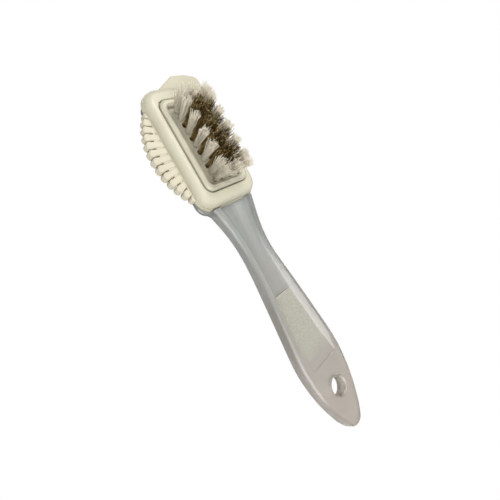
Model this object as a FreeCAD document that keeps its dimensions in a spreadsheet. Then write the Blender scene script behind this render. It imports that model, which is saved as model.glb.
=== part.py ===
import FreeCAD, Part
import math
import os
import Sketcher

# Suede brush lying on its back, bristles up.
# Frame: origin under the middle of the head, on the flat back. +X runs to the end of the handle,
# +Z to the bristle tips, and the rubber fingers stand out towards -Y. Millimetres.

# Driving dimensions. Every one is a cell of the sheet.
DIMENSIONS = {
    # Head, seen from above
    "head_length": 51.3,
    "head_width": 31.2,
    "head_corner": 7.0,
    # Plate of the handle, under the head
    "plate_thickness": 2.0,
    "plate_side_lip": 0.15,
    "plate_end_lip": 1.0,
    "plate_far_inset": 3.0,
    "plate_near_corner": 4.8,
    "plate_edge_cut": 0.4,
    "notch_depth": 1.6,
    "notch_round": 0.8,
    # Rubber comb: sheet, fingers and tongue
    "comb_sheet": 1.65,
    "comb_lip": 0.4,
    "comb_thickness": 3.3,
    "comb_clearance": 0.15,
    "fan_offset": 0.7,
    "fan_root_inset": 0.45,
    "fan_root_reach": 0.6,
    "fan_reach": 7.9,
    "fan_flare": 2.02,
    "fan_arc_radius": 28.8,
    "finger_knob_gap": 0.13,
    "finger_shank_gap": 0.61,
    "finger_edge_cut": 0.4,
    "fan_sheet_inset": 0.3,
    "fan_groove_depth": 0.25,
    "tongue_reach": 6.55,
    "tongue_shoulder_reach": 5.05,
    "tongue_flank_inset": 1.65,
    "tongue_heel_inset": 2.15,
    "tongue_root_inset": 7.65,
    "tongue_shoulder_out": 3.2,
    "tongue_high_in": 3.6,
    "tongue_low_in": 10.24,
    "tongue_flank_in": 6.05,
    "tongue_root_in": 1.6,
    "tongue_low_round": 4.0,
    "tongue_high_round": 8.0,
    "tongue_shoulder_round": 2.6,
    "tongue_heel_round": 3.0,
    # Frame round the bristle block
    "frame_height": 3.85,
    "frame_edge_round": 3.0,
    "frame_wall": 2.3,
    "frame_roof": 1.5,
    "window_edge_cut": 0.35,
    # Bristle block
    "rim_end_inset": 6.0,
    "rim_side_inset": 4.1,
    "rim_corner": 3.4,
    "rim_wall": 2.5,
    "rim_rise": 1.1,
    "rim_edge_cut": 0.75,
    "rim_groove": 0.45,
    "well_depth": 2.6,
    "well_corner": 1.8,
    "plinth_end_inset": 5.65,
    "plinth_side_inset": 5.6,
    "plinth_corner": 2.0,
    "block_clearance": 0.2,
    # Tufts and their anchors
    "tuft_end_margin": 2.05,
    "tuft_row_pitch": 3.02,
    "tuft_column_pitch": 3.9,
    "tuft_hole_gap": 0.62,
    "tuft_hole_depth": 2.6,
    "tuft_clearance": 0.06,
    "tuft_root_height": 1.2,
    "nylon_length": 13.0,
    "brass_length": 12.6,
    "nylon_strand_gap": 0.247,
    "brass_strand_gap": 0.367,
    "anchor_height": 0.9,
    "anchor_thickness": 0.5,
    "anchor_side_gap": 0.5,
    # Handle
    "grip_length": 106.25,
    "grip_thickness": 5.5,
    "neck_inset": 4.0,
    "waist_inset": 7.85,
    "grip_half": 12.83,
    "grip_edge_cut": 1.2,
    "grip_edge_second_cut": 0.4,
    "back_edge_cut": 0.6,
    "grip_end_round": 5.0,
    "neck_blend": 3.0,
    "neck_clearance": 0.1,
    "scoop_length": 42.35,
    "scoop_floor": 1.8,
    "scoop_band": 2.7,
    "pad_to_hole": 8.27,
    "pad_depth": 2.3,
    "pad_band": 4.6,
    "hang_hole": 8.06,
    "hang_hole_from_end": 18.6,
    "hang_hole_edge_cut": 0.6,
    # One overrun for every cut, and how closely an edge has to lie to be picked
    "overrun": 1.0,
    "edge_match": 0.02,
}

# Counts
TUFT_COLUMNS = 3
FINGERS = 13
STRANDS_ROUND = 4
STRAND_SIDES = 4
HOLE_SIDES = 6
KNOB_SIDES = 8
# Angle from one finger to the next
FINGER_TURN_DEGREES = 4.4

# Handle outline: share of the grip's length, then share of the way from one half-width to the next.
NECK_TO_WAIST_SHARES = ((0.0, 0.0), (0.0927, 0.688), (0.2056, 1.0))
WAIST_TO_GRIP_SHARES = ((0.3374, 0.197), (0.582, 0.815), (0.695, 1.0))
GRIP_TO_END_SHARES = ((0.75, 0.968), (0.808, 0.888), (0.8645, 0.765), (0.921, 0.595))
# Half the angle of the arc that closes the handle's end.
END_ARC_DEGREES = 55.0
# Handle seen from the side: share of the grip's length, share of its thickness.
CREST_SHARES = (
    (0.0, 1.02), (0.093, 0.94), (0.206, 0.84), (0.337, 0.95), (0.45, 1.0), (0.7, 1.0), (1.0, 0.93),
)
# Thumb scoop: places along it. Pad: places along it and share of its depth there.
SCOOP_SHARES = (0.0, 0.125, 0.25, 0.375, 0.5, 0.625, 0.75, 0.875, 1.0)
PAD_SHARES = ((0.0, 1.0), (0.4, 1.0), (0.75, 0.9), (1.0, 0.12))

# Lean of the tufts, outward from the middle of the field.
NYLON_LEAN_DEGREES = 14.0
BRASS_LEAN_DEGREES = 2.0
# Lean along the brush, from the row at the tip to the row at the handle.
TIP_LEAN_DEGREES = -7.0
HANDLE_LEAN_DEGREES = 1.0
# How far the strands open from mouth to tip, and how long each one is.
NYLON_OPEN_SHARE = 1.7
BRASS_OPEN_SHARE = 2.2
STRAND_LENGTH_SHARES = (1.0, 0.955, 0.985, 0.94, 0.97)

doc = FreeCAD.newDocument("suede_brush")
sheet = doc.addObject("Spreadsheet::Sheet", "Dimensions")
for row, (alias, value) in enumerate(DIMENSIONS.items(), start=1):
    sheet.set(f"A{row}", alias)
    sheet.set(f"B{row}", str(value))
    sheet.setAlias(f"B{row}", alias)
doc.recompute()


def size(alias):
    """Reads one driving dimension from the sheet."""
    return float(sheet.get(alias))


def cells(text):
    """An expression in which every word is a cell of the sheet."""
    words = text.split()
    return " ".join("Dimensions." + word if word in DIMENSIONS else word for word in words)


def worked_out(text):
    """The value of such an expression."""
    found = sheet.evalExpression(cells(text))
    return float(getattr(found, "Value", found))


# Sizes that follow the head, as expressions.
RIM_LENGTH = "head_length - 2 * rim_end_inset"
RIM_WIDTH = "head_width - 2 * rim_side_inset"
PLINTH_LENGTH = "head_length - 2 * plinth_end_inset"
PLINTH_WIDTH = "head_width - 2 * plinth_side_inset"
HOLE_PLACE = "head_length / 2 + comb_lip + neck_clearance + grip_length - hang_hole_from_end"

# Heights that several pieces share, from the back upwards.
COMB_TOP = size("plate_thickness") + size("comb_sheet")
COMB_BOTTOM = COMB_TOP - size("comb_thickness")
FRAME_TOP = COMB_TOP + size("frame_height")
FLOOR = FRAME_TOP + size("rim_rise") - size("well_depth")
MATCH = size("edge_match")
OVERRUN = size("overrun")
# Head and fan, seen from above.
HEAD_HALF = size("head_length") / 2
SIDE_HALF = size("head_width") / 2
NOTCH_REACH = SIDE_HALF - size("notch_depth")
FAN_ROOT_HALF = HEAD_HALF - size("head_corner") - size("fan_root_inset")
FINGER_PITCH = 2 * (FAN_ROOT_HALF + size("fan_flare")) / (FINGERS - 1)
# Where the grip starts, behind the head, where its hollows and its hole are, and where it ends.
GRIP_START = HEAD_HALF + size("comb_lip") + size("neck_clearance")
GRIP_END = GRIP_START + size("grip_length")
SCOOP_END = GRIP_START + size("scoop_length")
HOLE_X = worked_out(HOLE_PLACE)
PAD_LENGTH = HOLE_X - size("hang_hole") / 2 - size("pad_to_hole") - SCOOP_END
UP = FreeCAD.Vector(0, 0, 1)

pieces = []


def new_body(label):
    """A body that becomes one node."""
    body = doc.addObject("PartDesign::Body", label)
    body.Label = label
    return body


def add_feature(label, shape, placement=FreeCAD.Placement()):
    """A sub-part whose shape is worked out from the sheet."""
    piece = doc.addObject("Part::Feature", label)
    piece.Label = label
    piece.Shape = shape
    piece.Placement = placement
    return piece


def new_sketch(body, name, role="XY_Plane", lift=None):
    """A sketch on one of the body's own planes, lifted along its normal by an expression."""
    plane = next(item for item in body.Origin.OriginFeatures if item.Role == role)
    sketch = body.newObject("Sketcher::SketchObject", name)
    sketch.AttachmentSupport = [(plane, "")]
    sketch.MapMode = "FlatFace"
    if lift:
        sketch.setExpression("AttachmentOffset.Base.z", lift)
    return sketch


def bind(sketch, constraint, name, text):
    """Adds a driving constraint and binds it to the sheet."""
    index = sketch.addConstraint(constraint)
    sketch.renameConstraint(index, name)
    sketch.setExpression("Constraints." + name, cells(text))


def rounded_rectangle(sketch, length, width, corner):
    """A rounded rectangle about the origin. Its three sizes are expressions."""
    half_x = worked_out(length) / 2
    half_y = worked_out(width) / 2
    radius = worked_out(corner)
    arcs = []
    for turn, (x, y) in enumerate(((1, 1), (-1, 1), (-1, -1), (1, -1))):
        centre = FreeCAD.Vector(x * (half_x - radius), y * (half_y - radius), 0)
        start = turn * math.pi / 2
        arc = Part.ArcOfCircle(Part.Circle(centre, UP, radius), start, start + math.pi / 2)
        arcs.append(sketch.addGeometry(arc))
    followers = arcs[1:] + arcs[:1]
    lines = []
    for arc, follower in zip(arcs, followers):
        begin = sketch.Geometry[arc].EndPoint
        finish = sketch.Geometry[follower].StartPoint
        lines.append(sketch.addGeometry(Part.LineSegment(begin, finish)))
    for arc, line, follower in zip(arcs, lines, followers):
        sketch.addConstraint(Sketcher.Constraint("Tangent", arc, 2, line, 1))
        sketch.addConstraint(Sketcher.Constraint("Tangent", line, 2, follower, 1))
    for line, kind in zip(lines, ("Horizontal", "Vertical", "Horizontal", "Vertical")):
        sketch.addConstraint(Sketcher.Constraint(kind, line))
    for arc in arcs[1:]:
        sketch.addConstraint(Sketcher.Constraint("Equal", arcs[0], arc))
    sketch.addConstraint(Sketcher.Constraint("Symmetric", arcs[0], 3, arcs[2], 3, -1, 1))
    bind(sketch, Sketcher.Constraint("Radius", arcs[0], radius), "corner", corner)
    bind(sketch, Sketcher.Constraint("DistanceX", lines[1], 1, lines[3], 1, 2 * half_x), "length", length)
    bind(sketch, Sketcher.Constraint("DistanceY", lines[2], 1, lines[0], 1, 2 * half_y), "width", width)


def pad(body, sketch, name, length):
    """A pad upwards from its sketch."""
    feature = body.newObject("PartDesign::Pad", name)
    feature.Profile = sketch
    feature.setExpression("Length", cells(length))
    doc.recompute()
    return feature


def pocket(body, sketch, name, length, upwards=False, midplane=False):
    """A pocket that has to take material away."""
    before = body.Shape.Volume
    feature = body.newObject("PartDesign::Pocket", name)
    feature.Profile = sketch
    feature.setExpression("Length", cells(length))
    feature.Reversed = upwards
    feature.Midplane = midplane
    doc.recompute()
    if body.Shape.Volume >= before:
        raise RuntimeError(name + " cuts nothing")
    return feature


def dress(body, base, kind, name, amount, accept):
    """Rounds (Fillet) or breaks (Chamfer) the edges of a feature that accept(edge) picks."""
    edges = [f"Edge{index}" for index, edge in enumerate(base.Shape.Edges, start=1) if accept(edge)]
    feature = body.newObject("PartDesign::" + kind, name)
    feature.Base = (base, edges)
    feature.setExpression("Radius" if kind == "Fillet" else "Size", cells(amount))
    doc.recompute()
    return feature


def at_height(edge, height):
    """Whether an edge lies flat at a height."""
    box = edge.BoundBox
    return abs(box.ZMin - height) < MATCH and abs(box.ZMax - height) < MATCH


def upright(edge):
    """Whether an edge stands straight up."""
    box = edge.BoundBox
    return box.XLength < MATCH and box.YLength < MATCH


# Handle outline and crest as points along the grip
def grip_outline():
    """Places (x, half-width) of the handle's outline, without its end point."""
    places = []
    neck_half = SIDE_HALF - size("neck_inset")
    waist_half = SIDE_HALF - size("waist_inset")
    steps = (
        (NECK_TO_WAIST_SHARES, neck_half, waist_half),
        (WAIST_TO_GRIP_SHARES, waist_half, size("grip_half")),
    )
    for shares, begin, finish in steps:
        for along, change in shares:
            places.append((GRIP_START + along * size("grip_length"), begin + change * (finish - begin)))
    for along, left in GRIP_TO_END_SHARES:
        places.append((GRIP_START + along * size("grip_length"), left * size("grip_half")))
    return places


def smooth_curve(points, first=None, last=None):
    """A smooth curve through points, with its direction given at one end or both."""
    curve = Part.BSplineCurve()
    if last is None:
        curve.interpolate(points)
    else:
        curve.interpolate(Points=points, InitialTangent=first, FinalTangent=last)
    return curve


def value_at(curve, place, way):
    """Second coordinate of a flat curve where its first coordinate is place."""
    reach = 2 * size("grip_length")
    cut = Part.LineSegment(place - way * reach, place + way * reach)
    return curve.intersect(cut)[0]


SIDE_POINTS = [FreeCAD.Vector(x, half, 0) for x, half in grip_outline()]
END_TURN = math.radians(END_ARC_DEGREES)
END_CENTRE = FreeCAD.Vector(GRIP_END - size("grip_end_round"), 0, 0)
END_REACH = FreeCAD.Vector(math.cos(END_TURN), math.sin(END_TURN), 0)
SIDE_POINTS.append(END_CENTRE + size("grip_end_round") * END_REACH)
SIDE_CURVE = smooth_curve(
    SIDE_POINTS,
    SIDE_POINTS[1] - SIDE_POINTS[0],
    FreeCAD.Vector(END_REACH.y, -END_REACH.x, 0),
)
CREST_POINTS = [
    FreeCAD.Vector(GRIP_START + along * size("grip_length"), share * size("grip_thickness"), 0)
    for along, share in CREST_SHARES
]
CREST_POINTS[0].x = CREST_POINTS[0].x - OVERRUN
CREST_POINTS[-1].x = CREST_POINTS[-1].x + OVERRUN
CREST_CURVE = smooth_curve(CREST_POINTS)


def half_width(x):
    """Half-width of the handle at a place along it."""
    return value_at(SIDE_CURVE, FreeCAD.Vector(x, 0, 0), FreeCAD.Vector(0, 1, 0)).Y


def crest(x):
    """Height of the handle's crest at a place along it."""
    return value_at(CREST_CURVE, FreeCAD.Vector(x, 0, 0), FreeCAD.Vector(0, 1, 0)).Y


def mirrored(point):
    """The same place on the other side of the handle."""
    return FreeCAD.Vector(point.x, -point.y, point.z)


def close_loop(sketch, curves):
    """Puts curves that meet end to end into a sketch."""
    for curve in curves:
        sketch.addGeometry(curve)


def polyline(points):
    """Line segments through points, left open."""
    return [Part.LineSegment(begin, finish) for begin, finish in zip(points, points[1:])]


def rounded_outline(corners):
    """Curves through corners (x, y, radius). A radius of 0 leaves a corner sharp."""
    points = [FreeCAD.Vector(x, y, 0) for x, y, radius in corners]
    count = len(points)
    runs = []
    for index, (x, y, radius) in enumerate(corners):
        point = points[index]
        back = (points[index - 1] - point).normalize()
        ahead = (points[(index + 1) % count] - point).normalize()
        half = back.getAngle(ahead) / 2
        cut = radius / math.tan(half)
        middle = (back + ahead).normalize() * (radius / math.sin(half) - radius)
        runs.append((point + back * cut, point + middle, point + ahead * cut, radius))
    curves = []
    for index, (begin, middle, finish, radius) in enumerate(runs):
        if radius:
            curves.append(Part.Arc(begin, middle, finish))
        curves.append(Part.LineSegment(finish, runs[(index + 1) % count][0]))
    return curves


def plate_corners(gap):
    """Corners of the handle's plate, widened by a gap."""
    near = HEAD_HALF + size("plate_end_lip") + gap
    far = -HEAD_HALF + size("plate_far_inset") - gap
    side = SIDE_HALF + size("plate_side_lip") + gap
    near_corner = size("plate_near_corner") + gap
    far_corner = size("head_corner") - size("plate_far_inset") + gap
    return [
        (near, side, near_corner),
        (far, side, far_corner),
        (far, -side, far_corner),
        (near, -side, near_corner),
    ]


# Handle
handle = new_body("handle")
outline_sketch = new_sketch(handle, "grip_outline")
end_arc = Part.Arc(SIDE_POINTS[-1], FreeCAD.Vector(GRIP_END, 0, 0), mirrored(SIDE_POINTS[-1]))
other_side = SIDE_CURVE.copy()
other_side.mirror(FreeCAD.Vector(0, 0, 0), FreeCAD.Vector(1, 0, 0))
other_side.reverse()
neck = Part.LineSegment(mirrored(SIDE_POINTS[0]), SIDE_POINTS[0])
close_loop(outline_sketch, (SIDE_CURVE, end_arc, other_side, neck))
pad(handle, outline_sketch, "grip", "grip_thickness + overrun")

crest_sketch = new_sketch(handle, "crest_line", "XZ_Plane")
lid = size("grip_thickness") + 2 * OVERRUN
lid_points = [
    CREST_POINTS[-1],
    FreeCAD.Vector(CREST_POINTS[-1].x, lid, 0),
    FreeCAD.Vector(CREST_POINTS[0].x, lid, 0),
    CREST_POINTS[0],
]
close_loop(crest_sketch, [CREST_CURVE] + polyline(lid_points))
crest_cut = pocket(handle, crest_sketch, "crest_cut", "4 * grip_half", midplane=True)


def crest_edge(edge):
    """Whether an edge runs along the grip, above the head's rubber sheet."""
    box = edge.BoundBox
    return box.ZMin > COMB_TOP - size("grip_edge_cut") and box.XLength > MATCH


grip_edges = dress(handle, crest_cut, "Chamfer", "grip_edges", "grip_edge_cut", crest_edge)
dress(handle, grip_edges, "Chamfer", "grip_soft_edges", "grip_edge_second_cut", crest_edge)

plate_sketch = new_sketch(handle, "plate_outline")
close_loop(plate_sketch, rounded_outline(plate_corners(0)))
pad(handle, plate_sketch, "plate", "plate_thickness")
pieces.append(handle)

# Notch in the plate's edge, where the rubber fingers are rooted
notch_sketch = new_sketch(handle, "notch_outline")
notch_half = FAN_ROOT_HALF + size("comb_clearance")
notch_near = size("fan_offset") - notch_half
notch_far = size("fan_offset") + notch_half
notch_edge = -size("head_width")
notch_corners = [
    FreeCAD.Vector(notch_near, -NOTCH_REACH, 0),
    FreeCAD.Vector(notch_far, -NOTCH_REACH, 0),
    FreeCAD.Vector(notch_far, notch_edge, 0),
    FreeCAD.Vector(notch_near, notch_edge, 0),
    FreeCAD.Vector(notch_near, -NOTCH_REACH, 0),
]
close_loop(notch_sketch, polyline(notch_corners))
pocket(handle, notch_sketch, "notch", "plate_thickness + overrun", upwards=True)


def section(body, name, x, curves):
    """A sketch across the handle at a place along it."""
    sketch = new_sketch(body, name, "YZ_Plane")
    sketch.AttachmentOffset = FreeCAD.Placement(FreeCAD.Vector(0, 0, x), FreeCAD.Rotation())
    close_loop(sketch, curves)
    return sketch


def scoop_curves(x):
    """Round-bottomed section of the thumb scoop, open above the crest."""
    half = half_width(x) - size("scoop_band")
    depth = crest(x) - size("scoop_floor")
    radius = (half * half + depth * depth) / (2 * depth)
    rise = min(depth + OVERRUN, radius)
    reach = math.sqrt(radius * radius - (radius - rise) * (radius - rise))
    lid_height = size("scoop_floor") + rise
    left = FreeCAD.Vector(-reach, lid_height, 0)
    right = FreeCAD.Vector(reach, lid_height, 0)
    floor = FreeCAD.Vector(0, size("scoop_floor"), 0)
    return [Part.Arc(left, floor, right), Part.LineSegment(right, left)]


def pad_curves(x, share):
    """Flat-bottomed section of the pad, with sloping banks that open above the crest."""
    flat = half_width(x) - size("pad_band")
    bank = size("pad_band") - size("scoop_band")
    depth = share * size("pad_depth")
    rise = depth + OVERRUN
    reach = flat + bank * rise / size("pad_depth")
    floor = crest(x) - depth
    corners = [(-flat, floor), (flat, floor), (reach, floor + rise), (-reach, floor + rise), (-flat, floor)]
    return polyline([FreeCAD.Vector(y, z, 0) for y, z in corners])


def hollow(body, name, sections):
    """A hollow that runs straight from one section across the handle to the next."""
    before = body.Shape.Volume
    feature = body.newObject("PartDesign::SubtractiveLoft", name)
    feature.Profile = sections[0]
    feature.Sections = sections[1:]
    feature.Ruled = True
    doc.recompute()
    if body.Shape.Volume >= before:
        raise RuntimeError(name + " cuts nothing")
    return feature


scoop_places = [GRIP_START + share * size("scoop_length") for share in SCOOP_SHARES]
scoop_places[0] = scoop_places[0] - OVERRUN
scoop_sections = []
for index, x in enumerate(scoop_places):
    shown = max(x, GRIP_START)
    scoop_sections.append(section(handle, f"scoop_section_{index}", x, scoop_curves(shown)))
hollow(handle, "scoop", scoop_sections)
pad_sections = []
for index, (along, share) in enumerate(PAD_SHARES):
    x = SCOOP_END + along * PAD_LENGTH
    pad_sections.append(section(handle, f"pad_section_{index}", x, pad_curves(x, share)))
hollow(handle, "pad_dish", pad_sections)

hole_sketch = new_sketch(handle, "hang_hole_outline")
hole_outline = Part.Circle(FreeCAD.Vector(HOLE_X, 0, 0), UP, size("hang_hole") / 2)
hole_circle = hole_sketch.addGeometry(hole_outline)
hole_sketch.addConstraint(Sketcher.Constraint("PointOnObject", hole_circle, 3, -1))
bind(
    hole_sketch,
    Sketcher.Constraint("Diameter", hole_circle, size("hang_hole")),
    "across",
    "hang_hole",
)
bind(
    hole_sketch,
    Sketcher.Constraint("DistanceX", -1, 1, hole_circle, 3, HOLE_X),
    "place",
    HOLE_PLACE,
)
hang_hole = pocket(handle, hole_sketch, "hang_hole", "grip_thickness + overrun", upwards=True)


def neck_corner(edge):
    """Whether an edge is the upright corner between the plate and the neck."""
    box = edge.BoundBox
    return upright(edge) and box.XMin > GRIP_START + MATCH and box.ZMax < size("plate_thickness") + MATCH


def notch_corner(edge):
    """Whether an edge is an inner corner of the notch."""
    return upright(edge) and abs(edge.BoundBox.YMin + NOTCH_REACH) < MATCH


def hole_rim(edge):
    """Whether an edge runs round the hanging hole."""
    box = edge.BoundBox
    return abs(box.Center.x - HOLE_X) < MATCH and abs(box.YLength - size("hang_hole")) < MATCH


def plate_rim(edge):
    """Whether an edge is on the upper rim of the plate, clear of the neck."""
    clear = edge.BoundBox.XMin < GRIP_START - size("plate_end_lip")
    return clear and at_height(edge, size("plate_thickness"))


def back_rim(edge):
    """Whether an edge is on the outline of the flat back."""
    return at_height(edge, 0) and abs(edge.BoundBox.Center.x - HOLE_X) > MATCH


neck_round = dress(handle, hang_hole, "Fillet", "neck_corners", "neck_blend", neck_corner)
notch_soft = dress(handle, neck_round, "Fillet", "notch_corners", "notch_round", notch_corner)
hole_edges = dress(handle, notch_soft, "Chamfer", "hole_edges", "hang_hole_edge_cut", hole_rim)
back_edges = dress(handle, hole_edges, "Chamfer", "back_edges", "back_edge_cut", back_rim)
dress(handle, back_edges, "Chamfer", "plate_edges", "plate_edge_cut", plate_rim)

# Frame round the bristle block
frame = new_body("head_frame")
pieces.append(frame)
frame.setExpression("Placement.Base.z", cells("plate_thickness + comb_sheet"))
frame_sketch = new_sketch(frame, "frame_outline")
rounded_rectangle(frame_sketch, "head_length", "head_width", "head_corner")
frame_block = pad(frame, frame_sketch, "frame_block", "frame_height")
dress(
    frame, frame_block, "Fillet", "frame_top_edge", "frame_edge_round",
    lambda edge: at_height(edge, size("frame_height")),
)
cavity_sketch = new_sketch(frame, "cavity_outline")
rounded_rectangle(
    cavity_sketch,
    "head_length - 2 * frame_wall",
    "head_width - 2 * frame_wall",
    "head_corner - frame_wall",
)
pocket(frame, cavity_sketch, "cavity", "frame_height - frame_roof", upwards=True)
window_sketch = new_sketch(frame, "window_outline")
rounded_rectangle(
    window_sketch,
    RIM_LENGTH + " + 2 * rim_groove",
    RIM_WIDTH + " + 2 * rim_groove",
    "rim_corner + rim_groove",
)
window = pocket(frame, window_sketch, "window", "frame_height + overrun", upwards=True)


def window_rim(edge):
    """Whether an edge is on the window's upper rim."""
    box = edge.BoundBox
    reach = worked_out(RIM_LENGTH) / 2 + size("rim_groove") + MATCH
    inside = max(abs(box.XMin), abs(box.XMax)) < reach
    return inside and at_height(edge, size("frame_height"))


dress(frame, window, "Chamfer", "window_edges", "window_edge_cut", window_rim)

# Bristle block: plinth through the rubber sheet, flange under the frame, rim and well
block = new_body("block_blank")
block.setExpression("Placement.Base.z", cells("plate_thickness"))
plinth_sketch = new_sketch(block, "plinth_outline")
rounded_rectangle(plinth_sketch, PLINTH_LENGTH, PLINTH_WIDTH, "plinth_corner")
pad(block, plinth_sketch, "plinth", "comb_sheet + frame_height - frame_roof")
flange_sketch = new_sketch(block, "flange_outline", lift=cells("comb_sheet"))
rounded_rectangle(
    flange_sketch,
    "head_length - 2 * frame_wall - 2 * block_clearance",
    "head_width - 2 * frame_wall - 2 * block_clearance",
    "head_corner - frame_wall - block_clearance",
)
pad(block, flange_sketch, "flange", "frame_height - frame_roof")
rim_sketch = new_sketch(block, "rim_outline", lift=cells("comb_sheet"))
rounded_rectangle(rim_sketch, RIM_LENGTH, RIM_WIDTH, "rim_corner")
pad(block, rim_sketch, "rim", "frame_height + rim_rise")
well_sketch = new_sketch(block, "well_outline", lift=cells("comb_sheet + frame_height + rim_rise"))
WELL_LENGTH = RIM_LENGTH + " - 2 * rim_wall"
WELL_WIDTH = RIM_WIDTH + " - 2 * rim_wall"
rounded_rectangle(well_sketch, WELL_LENGTH, WELL_WIDTH, "well_corner")
well = pocket(block, well_sketch, "well", "well_depth")
dress(
    block, well, "Chamfer", "rim_edges", "rim_edge_cut",
    lambda edge: at_height(edge, FRAME_TOP + size("rim_rise") - size("plate_thickness")),
)

# Tuft places: column, row, kind and the way each tuft leans
FIELD_HALF = worked_out(WELL_LENGTH) / 2 - size("tuft_end_margin")
LAST_ROW = round(FIELD_HALF / size("tuft_row_pitch"))
ROW_PITCH = FIELD_HALF / LAST_ROW
TUFT_HOLE = ROW_PITCH - size("tuft_hole_gap")


def tuft_places():
    """Every tuft as (kind, placement). The placement's origin is the mouth of its hole."""
    places = []
    last_column = TUFT_COLUMNS // 2
    for column in range(-last_column, last_column + 1):
        for row in range(-LAST_ROW, LAST_ROW + 1):
            from_end = LAST_ROW - abs(row)
            if column:
                kind = "brass" if from_end > 1 and from_end % 2 == 0 else "nylon"
                lean_y = column * (BRASS_LEAN_DEGREES if kind == "brass" else NYLON_LEAN_DEGREES)
            else:
                kind = "nylon" if from_end == 0 else "brass"
                lean_y = 0.0
            along = (row + LAST_ROW) / (2 * LAST_ROW)
            lean_x = TIP_LEAN_DEGREES + along * (HANDLE_LEAN_DEGREES - TIP_LEAN_DEGREES)
            mouth = FreeCAD.Vector(row * ROW_PITCH, column * size("tuft_column_pitch"), FLOOR)
            way = FreeCAD.Vector(math.tan(math.radians(lean_x)), math.tan(math.radians(lean_y)), 1)
            places.append((kind, FreeCAD.Placement(mouth, FreeCAD.Rotation(UP, way))))
    return places


TUFTS = tuft_places()
drills = []
for index, (kind, placement) in enumerate(TUFTS, start=1):
    drill = doc.addObject("Part::Prism", f"drill_{index:02d}")
    drill.Polygon = HOLE_SIDES
    drill.Circumradius = TUFT_HOLE / 2
    drill.setExpression("Height", cells("tuft_hole_depth + overrun"))
    drop = FreeCAD.Placement(FreeCAD.Vector(0, 0, -size("tuft_hole_depth")), FreeCAD.Rotation())
    drill.Placement = placement.multiply(drop)
    drills.append(drill)
drill_group = doc.addObject("Part::Compound", "drills")
drill_group.Links = drills
bristle_block = doc.addObject("Part::Cut", "bristle_block")
bristle_block.Label = "bristle_block"
bristle_block.Base = block
bristle_block.Tool = drill_group
doc.recompute()
pieces.append(bristle_block)


# Rubber comb
def prism(face, bottom, top):
    """A flat face raised into a solid between two heights."""
    lifted = face.copy()
    lifted.translate(FreeCAD.Vector(0, 0, bottom))
    return lifted.extrude(FreeCAD.Vector(0, 0, top - bottom))


def polygon(radius, sides, centre):
    """A flat many-sided outline about a point."""
    corners = []
    for index in range(sides + 1):
        turn = math.tau * (index + 1 / 2) / sides
        corners.append(centre + radius * FreeCAD.Vector(math.cos(turn), math.sin(turn), 0))
    return Part.makePolygon(corners)


def rounded_face(corners):
    """A flat face with corners (x, y, radius)."""
    return Part.Face(Part.Wire([curve.toShape() for curve in rounded_outline(corners)]))


def rectangle_corners(half_x, half_y, radius):
    """Corners of a rounded rectangle about the origin."""
    ways = ((1, 1), (-1, 1), (-1, -1), (1, -1))
    return [(x * half_x, y * half_y, radius) for x, y in ways]


def soft_top(shape, keep):
    """Breaks the upper edges that keep(edge) accepts."""
    edges = [edge for edge in shape.Edges if at_height(edge, COMB_TOP) and keep(edge)]
    return shape.makeChamfer(size("finger_edge_cut"), edges)


def finger(step):
    """One finger of the fan, counted from the middle one."""
    turn = step * math.radians(FINGER_TURN_DEGREES)
    arc_turn = step * FINGER_PITCH / size("fan_arc_radius")
    way = FreeCAD.Vector(math.sin(turn), -math.cos(turn), 0)
    arc_radius = size("fan_arc_radius")
    tip = FreeCAD.Vector(
        size("fan_offset") + arc_radius * math.sin(arc_turn),
        arc_radius - SIDE_HALF - size("fan_reach") - arc_radius * math.cos(arc_turn),
        0,
    )
    knob_radius = (FINGER_PITCH - size("finger_knob_gap")) / 2
    centre = tip - way * knob_radius
    knob_outline = Part.Face(polygon(knob_radius, KNOB_SIDES, FreeCAD.Vector(0, 0, 0)))
    knob = soft_top(prism(knob_outline, COMB_BOTTOM, COMB_TOP), lambda edge: True)
    shank_width = FINGER_PITCH - size("finger_shank_gap")
    shank_length = max((SIDE_HALF + centre.y) / way.y, 0) + size("comb_lip")
    corner = FreeCAD.Vector(-shank_width / 2, 0, COMB_BOTTOM)
    shank = Part.makeBox(shank_width, shank_length, size("comb_thickness"), corner)
    shank = soft_top(shank, lambda edge: edge.BoundBox.YLength > MATCH)
    whole = knob.fuse(shank)
    spin = FreeCAD.Rotation(UP, math.degrees(turn))
    whole.Placement = FreeCAD.Placement(centre, spin)
    return whole


def make_fan_sheet(root_near):
    """Rubber sheet of the fan, as far as the knobs. The grooves between the fingers end on it."""
    arc_radius = size("fan_arc_radius")
    arc_y = arc_radius - SIDE_HALF - size("fan_reach")
    height = size("comb_thickness") - size("fan_groove_depth")
    sheet_radius = arc_radius - FINGER_PITCH - size("fan_sheet_inset")
    disc = Part.makeCylinder(sheet_radius, height, FreeCAD.Vector(size("fan_offset"), arc_y, COMB_BOTTOM))
    reach = SIDE_HALF + size("fan_reach") + root_near
    corner = FreeCAD.Vector(size("fan_offset") - FAN_ROOT_HALF, root_near - reach, COMB_BOTTOM)
    return disc.common(Part.makeBox(2 * FAN_ROOT_HALF, reach, height, corner))


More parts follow.
